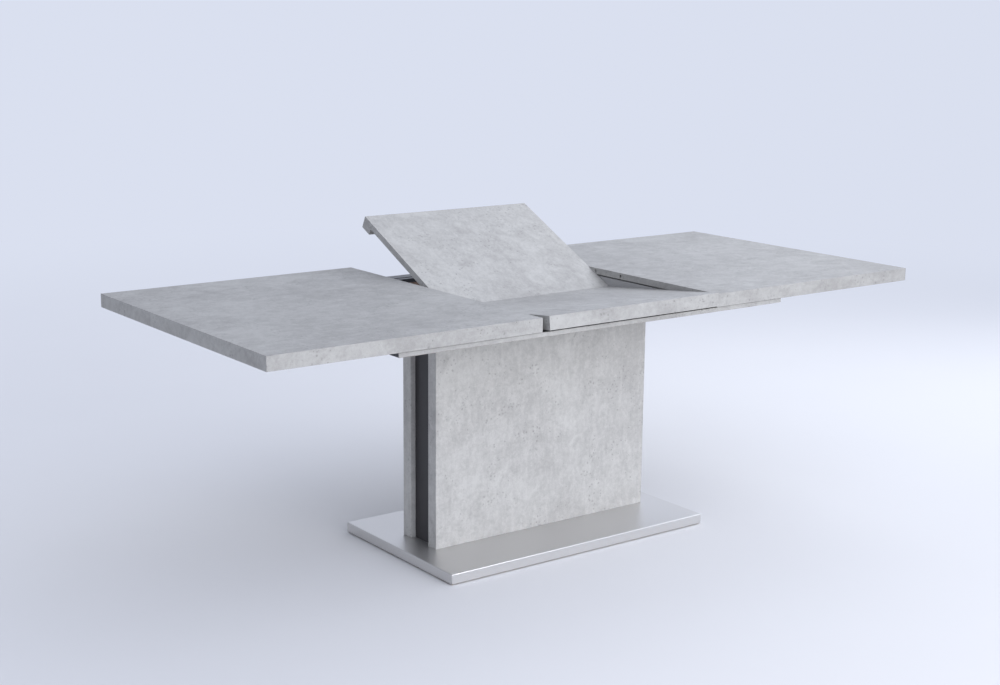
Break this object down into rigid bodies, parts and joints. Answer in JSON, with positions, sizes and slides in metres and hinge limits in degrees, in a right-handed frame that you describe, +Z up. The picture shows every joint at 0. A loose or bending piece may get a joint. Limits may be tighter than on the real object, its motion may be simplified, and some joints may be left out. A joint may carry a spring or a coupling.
{
  "type": "extendable dining table",
  "caption": "Extendable pedestal dining table with sliding leaves and a fold-out insert, on a slab pedestal and a flat steel base plate.",
  "frame": {"origin": "on the floor, under the centre of the pedestal", "axes": "+X along the table to its right end, +Y to its rear, +Z up"},
  "size_m": [2.219, 0.9579, 0.9205],
  "materials": {
    "concrete_laminate": "matt grey concrete-look melamine on chipboard, edges banded to match",
    "brushed_stainless": "long-grain brushed stainless steel sheet",
    "core_board": "raw board inside the base plate",
    "glide_plastic": "black moulded glide",
    "black_laminate": "matt black laminated board",
    "zinc_steel": "bright zinc-plated steel hardware",
    "black_painted_steel": "black powder-coated steel",
    "dark_aluminium": "dark anodised extrusion",
    "grey_board": "light grey foiled board",
    "stained_hardwood": "dark stained hardwood batten",
    "stop_plastic": "black plastic plug",
    "beech": "fluted beech dowel"
  },
  "bodies": {
    "base": {"apron_front": "concrete_laminate", "apron_rear": "concrete_laminate", "base_core": "core_board", "base_skin": "brushed_stainless", "cross_rail_left": "grey_board", "cross_rail_right": "grey_board", "end_rail_left": "stained_hardwood", "end_rail_right": "stained_hardwood", "glide_centre": "glide_plastic", "glide_left_front": "glide_plastic", "glide_left_rear": "glide_plastic", "glide_right_front": "glide_plastic", "glide_right_rear": "glide_plastic", "pedestal_cap": "black_laminate", "pedestal_panel_front": "concrete_laminate", "pedestal_panel_rear": "concrete_laminate", "pedestal_spacer_left": "black_laminate", "pedestal_spacer_right": "black_laminate", "rail_front": "dark_aluminium", "rail_rear": "dark_aluminium", "riser_left": "black_painted_steel", "riser_right": "black_painted_steel", "slot_stop_left_front": "stop_plastic", "slot_stop_left_rear": "stop_plastic", "slot_stop_right_front": "stop_plastic", "slot_stop_right_rear": "stop_plastic", "stiffener_front": "stained_hardwood", "stiffener_rear": "stained_hardwood", "tie_rod_1": "zinc_steel", "tie_rod_2": "zinc_steel", "tie_rod_3": "zinc_steel", "tie_rod_4": "zinc_steel"},
    "left_leaf": {"dowel_front": "beech", "dowel_rear": "beech", "leaf_left": "concrete_laminate", "leaf_left_edge_end": "concrete_laminate", "leaf_left_edge_front": "concrete_laminate", "leaf_left_edge_rear": "concrete_laminate", "leaf_left_runner_front": "stained_hardwood", "leaf_left_runner_rear": "stained_hardwood"},
    "right_leaf": {"leaf_right": "concrete_laminate", "leaf_right_edge_end": "concrete_laminate", "leaf_right_edge_front": "concrete_laminate", "leaf_right_edge_rear": "concrete_laminate", "leaf_right_runner_front": "stained_hardwood", "leaf_right_runner_rear": "stained_hardwood"},
    "insert_rear_half": {"hinge_barrel_rear_1": "zinc_steel", "hinge_barrel_rear_2": "zinc_steel", "hinge_barrel_rear_3": "zinc_steel", "insert_rear": "concrete_laminate", "insert_rear_edge": "concrete_laminate", "pivot_bracket_left": "zinc_steel", "pivot_bracket_right": "zinc_steel", "pivot_pin_left": "zinc_steel", "pivot_pin_right": "zinc_steel"},
    "insert_front_half": {"hinge_barrel_front_1": "zinc_steel", "hinge_barrel_front_2": "zinc_steel", "hinge_barrel_front_3": "zinc_steel", "insert_front": "concrete_laminate", "insert_front_edge": "concrete_laminate"}
  },
  "joints": [
    {"name": "left_leaf_slide", "type": "slide", "parent": "base", "child": "left_leaf", "axis": [1, 0, 0], "range_m": [0, 0.018]},
    {"name": "right_leaf_slide", "type": "slide", "parent": "base", "child": "right_leaf", "axis": [1, 0, 0], "range_m": [0, 0.018]},
    {"name": "insert_tilt", "type": "hinge", "parent": "base", "child": "insert_rear_half", "pos_m": [0, 0.1, 0.722], "axis": [1, 0, 0], "range_deg": [-26, 34]},
    {"name": "insert_fold", "type": "hinge", "parent": "insert_rear_half", "child": "insert_front_half", "pos_m": [0, -0.00654, 0.71232], "axis": [1, 0, 0], "range_deg": [-42.17, 32.25]}
  ],
  "couplings": [
    {"joint": "insert_fold", "follows": "insert_tilt", "ratio": -1.24}
  ]
}
